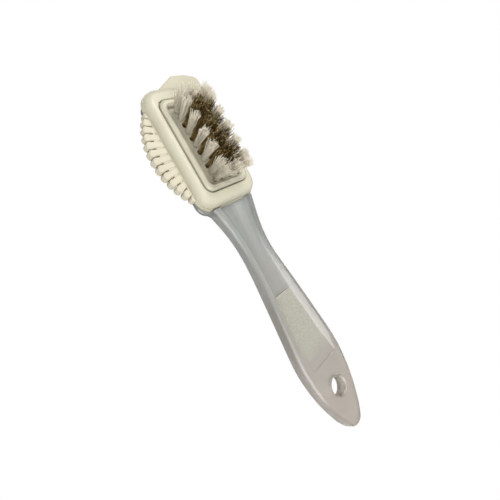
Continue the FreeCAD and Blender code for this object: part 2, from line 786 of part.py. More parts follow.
def make_tongue():
    """Smooth rubber tongue at the tip of the head, clear of the handle's plate."""
    front = HEAD_HALF + size("tongue_reach")
    flank_x = HEAD_HALF - size("tongue_flank_inset")
    flank_y = SIDE_HALF - size("tongue_flank_in")
    root_x = HEAD_HALF - size("tongue_root_inset")
    heel_x = HEAD_HALF - size("tongue_heel_inset")
    shoulder_x = HEAD_HALF + size("tongue_shoulder_reach")
    shoulder_y = SIDE_HALF + size("tongue_shoulder_out")
    corners = [
        (-flank_x, -flank_y, 0),
        (-root_x, -flank_y, 0),
        (-root_x, SIDE_HALF - size("tongue_root_in"), 0),
        (-heel_x, shoulder_y, size("tongue_heel_round")),
        (-shoulder_x, shoulder_y, size("tongue_shoulder_round")),
        (-front, SIDE_HALF - size("tongue_high_in"), size("tongue_high_round")),
        (-front, SIDE_HALF - size("tongue_low_in"), size("tongue_low_round")),
    ]
    body = prism(rounded_face(corners), COMB_BOTTOM, COMB_TOP)
    body = soft_top(body, lambda edge: edge.BoundBox.XMin < -flank_x - MATCH)
    plate_face = rounded_face(plate_corners(size("comb_clearance")))
    return body.cut(prism(plate_face, -OVERRUN, size("plate_thickness")))


def make_comb():
    """Rubber sheet with its fan of fingers and its tongue."""
    sheet_face = rounded_face(rectangle_corners(
        HEAD_HALF + size("comb_lip"), SIDE_HALF, size("head_corner"),
    ))
    sheet_solid = prism(sheet_face, size("plate_thickness"), COMB_TOP)
    root_near = -NOTCH_REACH - size("comb_clearance")
    root_length = SIDE_HALF + size("fan_root_reach") + root_near
    root_corner = FreeCAD.Vector(size("fan_offset") - FAN_ROOT_HALF, root_near - root_length, COMB_BOTTOM)
    root = Part.makeBox(2 * FAN_ROOT_HALF, root_length, size("comb_thickness"), root_corner)
    last = FINGERS // 2
    fingers = [finger(step) for step in range(-last, last + 1)]
    forms = [root, make_fan_sheet(root_near), make_tongue()]
    whole = sheet_solid.multiFuse(forms + fingers).removeSplitter()
    gap = size("block_clearance")
    window_face = rounded_face(rectangle_corners(
        worked_out(PLINTH_LENGTH) / 2 + gap, worked_out(PLINTH_WIDTH) / 2 + gap, size("plinth_corner") + gap,
    ))
    return whole.cut(prism(window_face, 0, FRAME_TOP))


pieces.append(add_feature("rubber_comb", make_comb()))


# Tufts: folded root and strands, standing on the anchor at the bottom of the hole
def make_tuft(length, strand_gap, opening):
    """A tuft about its own axis, folded over its anchor. Its origin is the mouth of its hole."""
    bottom = size("anchor_height") - size("tuft_hole_depth")
    root_radius = TUFT_HOLE / 2 - size("tuft_clearance")
    root_face = Part.Face(polygon(root_radius, HOLE_SIDES, UP * bottom))
    root = root_face.extrude(UP * size("tuft_root_height"))
    root_top = bottom + size("tuft_root_height")
    root_flat = root_radius * math.cos(math.pi / HOLE_SIDES)
    strand = root_flat - strand_gap
    mouth_ring = root_flat - strand / 2
    strands = []
    for index in range(STRANDS_ROUND + 1):
        turn = math.tau * (index + 1 / 2) / STRANDS_ROUND
        ring = mouth_ring if index else 0
        out = FreeCAD.Vector(math.cos(turn), math.sin(turn), 0) * ring
        top = length * STRAND_LENGTH_SHARES[index]
        slope = (opening - 1) * out / length
        low = out + UP * root_top
        high = out + (slope + UP) * top
        wires = [polygon(strand / 2, STRAND_SIDES, low), polygon(strand / 2, STRAND_SIDES, high)]
        strands.append(Part.makeLoft(wires, True, True))
    return root.multiFuse(strands)


tuft_shapes = {
    "nylon": make_tuft(size("nylon_length"), size("nylon_strand_gap"), NYLON_OPEN_SHARE),
    "brass": make_tuft(size("brass_length"), size("brass_strand_gap"), BRASS_OPEN_SHARE),
}
tuft_counts = {"nylon": 0, "brass": 0}
for kind, placement in TUFTS:
    tuft_counts[kind] += 1
    pieces.append(add_feature(f"{kind}_tuft_{tuft_counts[kind]:02d}", tuft_shapes[kind], placement))

# Wire anchors across the bottom of the holes
anchor_sizes = [size("anchor_thickness"), TUFT_HOLE - size("anchor_side_gap"), size("anchor_height")]
anchor_corner = FreeCAD.Vector(-anchor_sizes[0] / 2, -anchor_sizes[1] / 2, -size("tuft_hole_depth"))
anchors = []
for kind, placement in TUFTS:
    anchor = Part.makeBox(*anchor_sizes, anchor_corner)
    anchor.Placement = placement
    anchors.append(anchor)
pieces.append(add_feature("tuft_anchors", Part.makeCompound(anchors)))

# Check and write
doc.recompute()
for item in doc.Objects:
    if "Invalid" in item.State or "Error" in item.State:
        raise RuntimeError(item.Name + " did not build")
os.makedirs("parts", exist_ok=True)
for piece in pieces:
    if piece.Shape.isNull() or not piece.Shape.isValid():
        raise RuntimeError(piece.Label + " has a bad shape")
    piece.Shape.exportStep(f"parts/{piece.Label}.step")
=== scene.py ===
"""Looks of a suede brush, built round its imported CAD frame."""

import logging
import math
from dataclasses import dataclass
from enum import Enum

import bpy
import numpy as np
from mathutils import Matrix, Vector


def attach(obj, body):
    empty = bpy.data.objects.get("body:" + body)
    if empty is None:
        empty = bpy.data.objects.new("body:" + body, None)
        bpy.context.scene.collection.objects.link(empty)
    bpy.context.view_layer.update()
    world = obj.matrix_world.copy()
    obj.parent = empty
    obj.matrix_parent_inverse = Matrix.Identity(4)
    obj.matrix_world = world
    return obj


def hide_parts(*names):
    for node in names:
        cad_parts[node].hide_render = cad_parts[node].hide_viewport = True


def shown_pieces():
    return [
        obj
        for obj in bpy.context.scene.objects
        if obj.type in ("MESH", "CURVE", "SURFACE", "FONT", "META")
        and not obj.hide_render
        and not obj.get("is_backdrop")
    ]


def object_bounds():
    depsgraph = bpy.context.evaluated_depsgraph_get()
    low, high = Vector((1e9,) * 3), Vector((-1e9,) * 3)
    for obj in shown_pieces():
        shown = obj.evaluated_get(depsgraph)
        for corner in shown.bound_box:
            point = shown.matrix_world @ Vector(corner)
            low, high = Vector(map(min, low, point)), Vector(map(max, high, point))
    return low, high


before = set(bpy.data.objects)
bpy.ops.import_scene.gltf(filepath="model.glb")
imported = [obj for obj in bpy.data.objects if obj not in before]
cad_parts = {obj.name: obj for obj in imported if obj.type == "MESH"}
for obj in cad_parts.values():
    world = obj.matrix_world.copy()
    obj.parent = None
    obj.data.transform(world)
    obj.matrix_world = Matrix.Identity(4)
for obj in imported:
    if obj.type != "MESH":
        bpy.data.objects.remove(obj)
LOADED_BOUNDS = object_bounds()

MM = 0.001
BODY = "root"
WHITE = "#ffffff"
PLAIN_STRENGTH = 1.0
# Layers of the noise, and the part of its range that its spots use.
NOISE_DETAIL = 3.0
NOISE_LOW = 0.3
NOISE_HIGH = 0.7
# Sockets of a colour mix: first colour, second colour and result.
MIX_FIRST = 6
MIX_SECOND = 7
MIX_RESULT = 2
LOG = logging.getLogger("suede_brush")


# Colours and nodes
def linear(code: str) -> tuple[float, float, float, float]:
    """Turns an sRGB hex colour into linear light.

    Args:
        code: Colour as "#rrggbb".

    Returns:
        Linear red, green and blue, and an alpha of 1.
    """
    parts = [int(code[place : place + 2], 16) / 255 for place in (1, 3, 5)]
    light = [part / 12.92 if part <= 0.04045 else ((part + 0.055) / 1.055) ** 2.4 for part in parts]
    return (light[0], light[1], light[2], 1.0)


def add_node(
    tree: bpy.types.NodeTree,
    kind: str,
    values: dict | None = None,
    links: dict | None = None,
    **settings: object,
) -> bpy.types.Node:
    """Adds a node with its settings and links.

    Args:
        tree: Node tree to add to.
        kind: Blender's name of the node type.
        values: Input socket to fixed value.
        links: Input socket to the output socket that feeds it.
        **settings: Properties of the node.

    Returns:
        The new node.
    """
    node = tree.nodes.new(kind)
    for name, setting in settings.items():
        setattr(node, name, setting)
    for socket, value in (values or {}).items():
        node.inputs[socket].default_value = value
    for socket, source in (links or {}).items():
        tree.links.new(source, node.inputs[socket])
    return node


def spots(
    tree: bpy.types.NodeTree, size_mm: float, low: float = 0.0, high: float = 1.0
) -> bpy.types.NodeSocket:
    """Lays a pattern of soft spots of a real size over a piece.

    Args:
        tree: Node tree to add to.
        size_mm: Width of one spot.
        low: Value of the dark spots.
        high: Value of the bright spots.

    Returns:
        The pattern's value.
    """
    place = add_node(tree, "ShaderNodeTexCoord")
    noise = add_node(
        tree,
        "ShaderNodeTexNoise",
        {"Scale": 1 / (size_mm * MM), "Detail": NOISE_DETAIL},
        {"Vector": place.outputs["Object"]},
    )
    stretched = add_node(
        tree,
        "ShaderNodeMapRange",
        {"From Min": NOISE_LOW, "From Max": NOISE_HIGH, "To Min": low, "To Max": high},
        {"Value": noise.outputs[0]},
    )
    return stretched.outputs["Result"]


class Finish:
    """A finish that can be turned into a node material."""

    name: str

    def surface(self, tree: bpy.types.NodeTree) -> bpy.types.NodeSocket:
        """Adds the finish's nodes.

        Args:
            tree: Empty node tree.

        Returns:
            The shader's output.
        """
        raise NotImplementedError

    def material(self) -> bpy.types.Material:
        """Builds the material.

        Returns:
            The material.
        """
        material = bpy.data.materials.new(self.name)
        material.use_nodes = True
        tree = material.node_tree
        tree.nodes.clear()
        add_node(tree, "ShaderNodeOutputMaterial", links={"Surface": self.surface(tree)})
        return material


# Moulded plastic and rubber: the eye gets an even, warm, satin body with broad dull highlights.
# Its narrow grooves get painted shade: a darker colour where ambient occlusion finds little open sky.
# The mould's grain is drawn coarser than it is, so that it shows.
@dataclass(frozen=True)
class MouldedFinish(Finish):
    """Opaque moulded plastic or rubber.

    Attributes:
        name: Material's name.
        colour: Main colour.
        second: Colour of the faint cloudiness.
        roughness: Mean roughness.
        grain_mm: Size of the mould's fine texture.
        depth_mm: Depth of that texture.
        ior: Index of refraction.
        cloud_mm: Size of the cloudiness.
        rough_swing: How far the roughness swings either way.
        glow: Share of light that travels under the skin.
        glow_mm: How far it travels.
        glow_shares: How far red, green and blue travel against that.
        dust_and_groove_shade: Colour of the painted shade in narrow grooves, where ambient occlusion finds
            little open sky.
        groove_mm: How wide such a groove is.
        groove_open: Share of open sky in a groove above which it gets no painted shade.
    """

    name: str
    colour: str
    second: str
    roughness: float
    grain_mm: float
    depth_mm: float
    ior: float
    cloud_mm: float = 9.0
    rough_swing: float = 0.05
    glow: float = 0.1
    glow_mm: float = 0.8
    glow_shares: tuple[float, float, float] = (1.0, 0.85, 0.6)
    # Colour of the painted shade in narrow grooves.
    dust_and_groove_shade: str = "#a8a490"
    groove_mm: float = 0.9
    groove_open: float = 0.95

    def surface(self, tree: bpy.types.NodeTree) -> bpy.types.NodeSocket:
        """Adds the finish's nodes.

        Args:
            tree: Empty node tree.

        Returns:
            The shader's output.
        """
        body = add_node(
            tree,
            "ShaderNodeMix",
            {MIX_FIRST: linear(self.colour), MIX_SECOND: linear(self.second)},
            {"Factor": spots(tree, self.cloud_mm)},
            data_type="RGBA",
        )
        # Painted shade: where ambient occlusion finds little open sky in a narrow groove, the colour
        # darkens.
        sky = add_node(
            tree, "ShaderNodeAmbientOcclusion", {"Distance": self.groove_mm * MM}, only_local=True
        )
        clean_and_unshaded = add_node(
            tree, "ShaderNodeMapRange", {"From Max": self.groove_open}, {"Value": sky.outputs["AO"]}
        )
        groove_shaded = add_node(
            tree,
            "ShaderNodeMix",
            {MIX_FIRST: linear(self.dust_and_groove_shade)},
            {"Factor": clean_and_unshaded.outputs["Result"], MIX_SECOND: body.outputs[MIX_RESULT]},
            data_type="RGBA",
        )
        relief = add_node(
            tree,
            "ShaderNodeBump",
            {"Distance": self.depth_mm * MM},
            {"Height": spots(tree, self.grain_mm)},
        )
        low = self.roughness - self.rough_swing
        high = self.roughness + self.rough_swing
        shader = add_node(
            tree,
            "ShaderNodeBsdfPrincipled",
            {
                "IOR": self.ior,
                "Subsurface Weight": self.glow,
                "Subsurface Radius": self.glow_shares,
                "Subsurface Scale": self.glow_mm * MM,
            },
            {
                "Base Color": groove_shaded.outputs[MIX_RESULT],
                "Roughness": spots(tree, self.grain_mm, low, high),
                "Normal": relief.outputs["Normal"],
            },
        )
        return shader.outputs["BSDF"]


@dataclass(frozen=True)
class PadPlace:
    """Where the frosted pad lies on the handle.

    Attributes:
        start_mm: Where it starts along the brush.
        end_mm: Where it has faded out.
        fade_mm: Length of that fading.
        half_mm: Half-width at its start.
        widening: Growth of the half-width per millimetre along the brush.
        low_mm: Height above which it lies.
        edge_mm: Softness of its edges.
    """

    start_mm: float = 68.5
    end_mm: float = 99.0
    fade_mm: float = 5.0
    half_mm: float = 4.95
    widening: float = 0.11
    low_mm: float = 2.4
    edge_mm: float = 0.2

    def mask(self, tree: bpy.types.NodeTree, axes: bpy.types.bpy_prop_collection) -> bpy.types.NodeSocket:
        """Marks the pad on the handle's top.

        Args:
            tree: Node tree to add to.
            axes: Outputs that give a point's X, Y and Z.

        Returns:
            1 on the pad, 0 elsewhere.
        """
        across = add_node(tree, "ShaderNodeMath", links={0: axes["Y"]}, operation="ABSOLUTE")
        straight = add_node(
            tree,
            "ShaderNodeMath",
            {1: -self.widening},
            {0: axes["X"], 2: across.outputs[0]},
            operation="MULTIPLY_ADD",
        )
        side = self.half_mm - self.start_mm * self.widening
        limits = (
            (axes["X"], self.start_mm - self.edge_mm, self.start_mm),
            (axes["X"], self.end_mm, self.end_mm - self.fade_mm),
            (straight.outputs[0], side + self.edge_mm, side - self.edge_mm),
            (axes["Z"], self.low_mm, self.low_mm + self.edge_mm),
        )
        mask = None
        for source, outside, inside in limits:
            ramp = add_node(
                tree,
                "ShaderNodeMapRange",
                {"From Min": outside * MM, "From Max": inside * MM},
                {"Value": source},
            )
            if mask is None:
                mask = ramp.outputs["Result"]
                continue
            both = add_node(
                tree, "ShaderNodeMath", links={0: mask, 1: ramp.outputs["Result"]}, operation="MULTIPLY"
            )
            mask = both.outputs[0]
        return mask


# Moulded clear plastic: the eye gets a hazy grey body with soft bright rims, a warmer tail and a dull field.
# The field's grit is drawn coarser than it is, so that it shows.
@dataclass(frozen=True)
class FrostedFinish(Finish):
    """Hazy see-through plastic with a glossy skin and a matt pad.

    Attributes:
        name: Material's name.
        colour: Colour of the plastic at the head; its cool tint is the plastic's own, and its darkness is
            partly painted shade for the neck and scoop.
        tail_colour: Colour of the plastic at the tail.
        tint_start_mm: Where the colour starts to change along the brush.
        tint_end_mm: Where it has changed.
        clear: Share of light that passes the hazy body.
        roughness: Mean roughness of the haze.
        rough_swing: How far the roughness swings either way.
        skin: Strength of the glossy skin's reflection.
        skin_roughness: Roughness of the skin.
        cloud_mm: Size of the haze's clouds.
        ior: Index of refraction.
        pad_colour: Colour of the pad's frost.
        pad_speckle: Colour of the pad's speckles.
        pad_clear: Share of light that passes the pad.
        pad_roughness: Roughness of the pad.
        speckle_mm: Size of the pad's speckles.
        speckle_depth_mm: Depth of the pad's speckles.
        pad: Where the pad lies.
    """

    name: str = "clear_polystyrene_moulded"
    # Darker than the tail partly as painted shade for the neck and scoop.
    colour: str = "#a9aca8"
    tail_colour: str = "#c4bbb1"
    tint_start_mm: float = 40.0
    tint_end_mm: float = 125.0
    clear: float = 0.8
    roughness: float = 0.45
    rough_swing: float = 0.03
    skin: float = 0.8
    skin_roughness: float = 0.2
    cloud_mm: float = 6.0
    ior: float = 1.55
    pad_colour: str = "#acab9f"
    pad_speckle: str = "#8e8d82"
    pad_clear: float = 0.15
    pad_roughness: float = 0.62
    speckle_mm: float = 0.5
    speckle_depth_mm: float = 0.03
    pad: PadPlace = PadPlace()

    def surface(self, tree: bpy.types.NodeTree) -> bpy.types.NodeSocket:
        """Adds the finish's nodes.

        Args:
            tree: Empty node tree.

        Returns:
            The shader's output.
        """
        place = add_node(tree, "ShaderNodeTexCoord")
        axes = add_node(tree, "ShaderNodeSeparateXYZ", links={"Vector": place.outputs["Object"]}).outputs
        along = add_node(
            tree,
            "ShaderNodeMapRange",
            {"From Min": self.tint_start_mm * MM, "From Max": self.tint_end_mm * MM},
            {"Value": axes["X"]},
        )
        # The colour runs from the head's to the tail's; the head's darker colour is partly painted shade for
        # the neck and scoop.
        body = add_node(
            tree,
            "ShaderNodeMix",
            {MIX_FIRST: linear(self.colour), MIX_SECOND: linear(self.tail_colour)},
            {"Factor": along.outputs["Result"]},
            data_type="RGBA",
        )
        low = self.roughness - self.rough_swing
        high = self.roughness + self.rough_swing
        smooth = add_node(
            tree,
            "ShaderNodeBsdfPrincipled",
            {
                "IOR": self.ior,
                "Transmission Weight": self.clear,
                "Coat Weight": self.skin,
                "Coat Roughness": self.skin_roughness,
            },
            {"Base Color": body.outputs[MIX_RESULT], "Roughness": spots(tree, self.cloud_mm, low, high)},
        )
        speckle = spots(tree, self.speckle_mm)
        dust_and_groove_shade = add_node(
            tree,
            "ShaderNodeMix",
            {MIX_FIRST: linear(self.pad_speckle), MIX_SECOND: linear(self.pad_colour)},
            {"Factor": speckle},
            data_type="RGBA",
        )
        relief = add_node(
            tree, "ShaderNodeBump", {"Distance": self.speckle_depth_mm * MM}, {"Height": speckle}
        )
        frost = add_node(
            tree,
            "ShaderNodeBsdfPrincipled",
            {"IOR": self.ior, "Transmission Weight": self.pad_clear, "Roughness": self.pad_roughness},
            {"Base Color": dust_and_groove_shade.outputs[MIX_RESULT], "Normal": relief.outputs["Normal"]},
        )
        mixed = add_node(
            tree,
            "ShaderNodeMixShader",
            links={0: self.pad.mask(tree, axes), 1: smooth.outputs["BSDF"], 2: frost.outputs["BSDF"]},
        )
        return mixed.outputs["Shader"]


# Drawn nylon: the eye gets pale, half see-through strands, some milky and some dull.
@dataclass(frozen=True)
class FilamentFinish(Finish):
    """Drawn nylon filament.

    Attributes:
        name: Material's name.
        colour: Colour of the palest strands.
        dull: Colour of the dullest strands.
        clear: Share of light that passes through.
        roughness: Roughness of the drawn skin.
        ior: Index of refraction.
    """

    name: str = "nylon_drawn_filament"
    colour: str = "#f7f1e2"
    dull: str = "#e2dac6"
    clear: float = 0.3
    roughness: float = 0.35
    ior: float = 1.53

    def surface(self, tree: bpy.types.NodeTree) -> bpy.types.NodeSocket:
        """Adds the finish's nodes.

        Args:
            tree: Empty node tree.

        Returns:
            The shader's output.
        """
        strand = add_node(tree, "ShaderNodeNewGeometry")
        body = add_node(
            tree,
            "ShaderNodeMix",
            {MIX_FIRST: linear(self.dull), MIX_SECOND: linear(self.colour)},
            {"Factor": strand.outputs["Random Per Island"]},
            data_type="RGBA",
        )
        shader = add_node(
            tree,
            "ShaderNodeBsdfPrincipled",
            {"IOR": self.ior, "Transmission Weight": self.clear, "Roughness": self.roughness},
            {"Base Color": body.outputs[MIX_RESULT]},
        )
        return shader.outputs["BSDF"]


# Drawn wire: the eye gets a dark, tarnished mass with single bright glints; the darkening towards the tips
# is painted shade.
@dataclass(frozen=True)
class WireFinish(Finish):
    """Drawn metal wire.

    Attributes:
        name: Material's name.
        colour: Colour of the bright, untarnished metal.
        tarnish: Colour of the tarnished metal.
        roughness: Mean roughness.
        clean_share: Share of the wires that are untarnished.
        tip_shade: Colour of the painted shade at the wires' tips, where the packed tips shade each other.
        tip_low_mm: Height at which the tips start to darken.
        tip_high_mm: Height at which they are darkest.
        patch_mm: Size of the patches of different roughness.
        rough_swing: How far the roughness swings either way.
    """

    name: str
    colour: str
    tarnish: str
    roughness: float
    clean_share: float
    tip_shade: str
    tip_low_mm: float = 11.0
    tip_high_mm: float = 16.0
    patch_mm: float = 0.8
    rough_swing: float = 0.1

    def surface(self, tree: bpy.types.NodeTree) -> bpy.types.NodeSocket:
        """Adds the finish's nodes.

        Args:
            tree: Empty node tree.

        Returns:
            The shader's output.
        """
        place = add_node(tree, "ShaderNodeTexCoord")
        axes = add_node(tree, "ShaderNodeSeparateXYZ", links={"Vector": place.outputs["Object"]}).outputs
        # Painted shade: the colour darkens with height towards the tips, where the wires shade each other.
        tip = add_node(
            tree,
            "ShaderNodeMapRange",
            {"From Min": self.tip_low_mm * MM, "From Max": self.tip_high_mm * MM},
            {"Value": axes["Z"]},
        )
        tarnish_and_tip_shade = add_node(
            tree,
            "ShaderNodeMix",
            {MIX_FIRST: linear(self.tarnish), MIX_SECOND: linear(self.tip_shade)},
            {"Factor": tip.outputs["Result"]},
            data_type="RGBA",
        )
        wire = add_node(tree, "ShaderNodeNewGeometry")
        clean_and_unshaded = add_node(
            tree,
            "ShaderNodeMapRange",
            {"From Min": 1 - 2 * self.clean_share, "From Max": 1.0},
            {"Value": wire.outputs["Random Per Island"]},
        )
        body = add_node(
            tree,
            "ShaderNodeMix",
            {MIX_SECOND: linear(self.colour)},
            {"Factor": clean_and_unshaded.outputs["Result"], MIX_FIRST: tarnish_and_tip_shade.outputs[MIX_RESULT]},
            data_type="RGBA",
        )
        low = self.roughness - self.rough_swing
        high = self.roughness + self.rough_swing
        shader = add_node(
            tree,
            "ShaderNodeBsdfPrincipled",
            {"Metallic": 1.0},
            {"Base Color": body.outputs[MIX_RESULT], "Roughness": spots(tree, self.patch_mm, low, high)},
        )
        return shader.outputs["BSDF"]


# White paper: the eye gets a plain white ground without a horizon.
@dataclass(frozen=True)
class PaperFinish(Finish):
    """White paper that shows plain white to the camera and through the handle.

    Attributes:
        name: Material's name.
        colour: Main colour, as other pieces are lit by it.
        second: Colour of its faint clouds.
        cloud_mm: Size of the clouds.
        roughness: Roughness of the paper.
    """

    name: str = "white_paper_matt"
    colour: str = "#c9c9c9"
    second: str = "#cfcfcf"
    cloud_mm: float = 40.0
    roughness: float = 0.9

    def surface(self, tree: bpy.types.NodeTree) -> bpy.types.NodeSocket:
        """Adds the finish's nodes.

        Args:
            tree: Empty node tree.

        Returns:
            The shader's output.
        """
        body = add_node(
            tree,
            "ShaderNodeMix",
            {MIX_FIRST: linear(self.colour), MIX_SECOND: linear(self.second)},
            {"Factor": spots(tree, self.cloud_mm)},
            data_type="RGBA",
        )
        paper = add_node(
            tree,
            "ShaderNodeBsdfPrincipled",
            {"Roughness": self.roughness},
            {"Base Color": body.outputs[MIX_RESULT]},
        )
        plain = add_node(tree, "ShaderNodeEmission", {"Color": linear(WHITE), "Strength": PLAIN_STRENGTH})
        path = add_node(tree, "ShaderNodeLightPath").outputs
        seen = add_node(
            tree,
            "ShaderNodeMath",
            links={0: path["Is Camera Ray"], 1: path["Is Transmission Ray"]},
            operation="MAXIMUM",
        )
        mixed = add_node(
            tree,
            "ShaderNodeMixShader",
            links={0: seen.outputs[0], 1: paper.outputs["BSDF"], 2: plain.outputs["Emission"]},
        )
        return mixed.outputs["Shader"]


# Shading of the CAD meshes
@dataclass(frozen=True)
class EdgeShading:
    """Modifier that shades small angles smooth and leaves large ones sharp.

    Attributes:
        limit_degrees: Angle above which an edge stays sharp.
        weld_mm: How closely two corners lie that count as one.
    """

    limit_degrees: float = 38.0
    weld_mm: float = 0.002

    def group(self) -> bpy.types.NodeTree:
        """Builds the modifier's node group.

        Returns:
            The node group.
        """
        group = bpy.data.node_groups.new("soft_edges", "GeometryNodeTree")
        group.interface.new_socket("Geometry", in_out="INPUT", socket_type="NodeSocketGeometry")
        group.interface.new_socket("Geometry", in_out="OUTPUT", socket_type="NodeSocketGeometry")
        source = add_node(group, "NodeGroupInput")
        welded = add_node(
            group,
            "GeometryNodeMergeByDistance",
            {"Distance": self.weld_mm * MM},
            {"Geometry": source.outputs[0]},
        )
        angle = add_node(group, "GeometryNodeInputMeshEdgeAngle")
        sharp = add_node(
            group,
            "FunctionNodeCompare",
            {"B": math.radians(self.limit_degrees)},
            {"A": angle.outputs["Unsigned Angle"]},
            operation="GREATER_THAN",
        )
        normals = add_node(
            group,
            "GeometryNodeSetMeshNormal",
            {"Remove Custom": True},
            {"Mesh": welded.outputs["Geometry"], "Edge Sharpness": sharp.outputs["Result"]},
            mode="SHARPNESS",
        )
        add_node(group, "NodeGroupOutput", links={0: normals.outputs["Mesh"]})
        return group


def dress_node(
    name: str, material: bpy.types.Material, edges: bpy.types.NodeTree | None = None
) -> None:
    """Gives a CAD node its material and its edge shading.

    Args:
        name: Name of the CAD node.
        material: Material to put on.
        edges: Node group for its edges, or None to leave them.
    """
    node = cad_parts[name]
    node.data.materials.clear()
    node.data.materials.append(material)
    if edges:
        modifier = node.modifiers.new("soft_edges", "NODES")
        modifier.node_group = edges
        weighted = node.modifiers.new("weighted_normals", "WEIGHTED_NORMAL")
        weighted.keep_sharp = True


# Handle and head
@dataclass
class Handle:
    """Clear handle with its thumb scoop, frosted pad and hanging hole.

    Attributes:
        finish: Finish of the moulding.
    """

    finish: FrostedFinish = FrostedFinish()

    def dress(self, edges: bpy.types.NodeTree) -> None:
        """Puts the finish on the CAD node.

        Args:
            edges: Node group for the edges.
        """
        dress_node("handle", self.finish.material(), edges)


@dataclass
class Head:
    """Cream frame, bristle block, rubber comb and the anchors in the block.

    Attributes:
        cream: Finish of frame and block.
        rubber: Finish of the comb.
        anchor: Finish of the wire anchors.
    """

    # Moulded polypropylene: the eye gets a satin cream with soft highlights along its round edges.
    # Its narrow grooves, such as the gap between frame and block, get a light painted shade.
    cream: MouldedFinish = MouldedFinish(
        name="cream_polypropylene_moulded",
        colour="#bbb8a6",
        second="#b7b3a0",
        roughness=0.42,
        grain_mm=0.4,
        depth_mm=0.002,
        ior=1.49,
    )
    # Moulded rubber: the eye gets a duller ivory with hardly any highlight.
    rubber: MouldedFinish = MouldedFinish(
        name="ivory_rubber_moulded",
        colour="#bfbaa8",
        second="#bab4a0",
        roughness=0.58,
        grain_mm=0.3,
        depth_mm=0.003,
        ior=1.52,
        # Darker painted shade in the comb's grooves and slots, where the fingers shade each other.
        dust_and_groove_shade="#8d8773",
    )
    # Cut flat steel wire: the eye gets short grey glints at the bottom of the holes.
    anchor: WireFinish = WireFinish(
        name="steel_flat_wire_cut",
        colour="#b8b8b8",
        tarnish="#8a8a8a",
        roughness=0.35,
        clean_share=0.5,
        tip_shade="#8a8a8a",
    )

    def dress(self, edges: bpy.types.NodeTree) -> None:
        """Puts the finishes on the CAD nodes.

        Args:
            edges: Node group for the edges.
        """
        cream = self.cream.material()
        dress_node("head_frame", cream, edges)
        dress_node("bristle_block", cream, edges)
        dress_node("rubber_comb", self.rubber.material(), edges)
        dress_node("tuft_anchors", self.anchor.material())


# Tufts
class Kind(Enum):
    """What a tuft is made of."""

    NYLON = "nylon"
    BRASS = "brass"


@dataclass(frozen=True)
class Bundle:
    """Filaments of one kind of tuft.

    Attributes:
        count: Filaments in a tuft.
        width_mm: Thickness of one filament.
        mouth_mm: Radius of the tuft where it leaves the floor.
        length_share: Free length against the free length of the CAD tuft.
        ragged_share: How much shorter the shortest filament is.
        open_share: Width at the tips against width at the mouth.
        stray_mm: Sideways wander of a tip.
        crimp_mm: Height of the wire's waves.
        crimp_pitch_mm: Length of one wave.
        steps: Points along a filament.
        sides: Sides of a filament.
    """

    count: int
    width_mm: float
    mouth_mm: float
    length_share: float
    ragged_share: float
    open_share: float
    stray_mm: float
    crimp_mm: float
    crimp_pitch_mm: float
    steps: int
    sides: int = 5


@dataclass(frozen=True)
class TuftPlace:
    """Where one tuft stands.

    Attributes:
        node: Name of the CAD tuft.
        kind: What it is made of.
        mouth_mm: Mouth of its hole.
        way: Unit direction in which it stands.
        length_mm: Its free length.
    """

    node: str
    kind: Kind
    mouth_mm: np.ndarray
    way: np.ndarray
    length_mm: float


